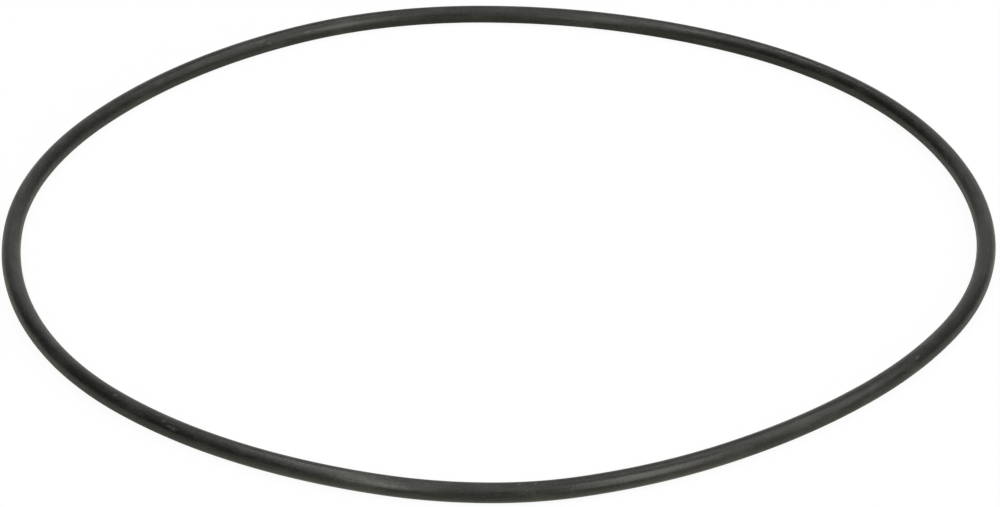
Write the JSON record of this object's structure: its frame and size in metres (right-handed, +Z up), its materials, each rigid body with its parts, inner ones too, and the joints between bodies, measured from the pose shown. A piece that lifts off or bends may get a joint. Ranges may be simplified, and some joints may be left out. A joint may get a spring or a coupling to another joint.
{
  "type": "o-ring seal",
  "caption": "Endless ring of round black rubber cord that seals round a spigot or cylinder liner in an engine, lying free and a little out of round.",
  "frame": {"origin": "middle of the ring, on the surface that it lies on", "axes": "+Z up, square to the ring; -Y towards the viewer and +X to the right in the reference view"},
  "size_m": [0.1564, 0.1576, 0.003],
  "materials": {
    "rubber": "satin moulded black rubber"
  },
  "bodies": {
    "root": {"o_ring": "rubber"}
  },
  "joints": []
}
